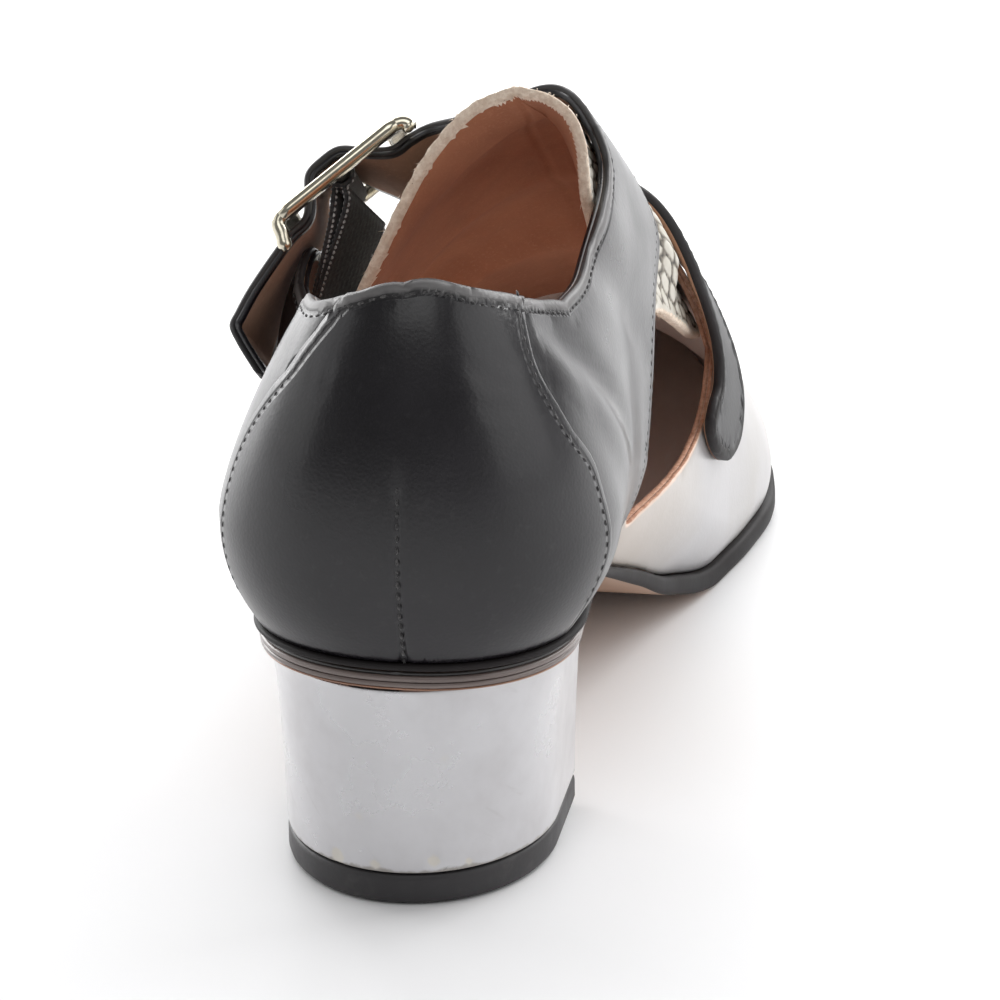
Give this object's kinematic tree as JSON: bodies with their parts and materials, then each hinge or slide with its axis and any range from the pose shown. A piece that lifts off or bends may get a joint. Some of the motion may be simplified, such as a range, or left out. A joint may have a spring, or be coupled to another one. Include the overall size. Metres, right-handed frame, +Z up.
{
  "type": "cut-out monk-strap pump",
  "caption": "Left women's pump with a block heel, open cut-out sides, a high tongue and a buckled instep strap, worn on the foot.",
  "frame": {"origin": "middle of the plan box on the floor plane that the heel and the forefoot stand on", "axes": "+X towards the medial side (the wearer's other foot), +Y towards the toe, +Z up"},
  "size_m": [0.0774, 0.2568, 0.121],
  "materials": {
    "upper_leather": "polished, fine grain",
    "vamp_leather": "silver metallic, satin",
    "lining_leather": "matt, brown to tan",
    "thread": "waxed thread",
    "tongue_snake": "snake-embossed, satin",
    "band_leather": "polished",
    "insole_leather": "matt",
    "sole_leather": "waxed",
    "stacked_leather": "waxed edge",
    "heel_metallic": "silver metallic coat",
    "heel_rubber": "matt",
    "buckle_metal": "polished nickel",
    "webbing": "ribbed elastic"
  },
  "bodies": {
    "root": {"upper": "upper_leather", "tongue": "tongue_snake", "vamp_band": "band_leather", "insole": "insole_leather", "outsole": "sole_leather", "heel_rand": "stacked_leather", "heel": "heel_metallic", "top_piece": "heel_rubber", "buckle_frame": "buckle_metal", "elastic": "webbing"}
  },
  "joints": []
}
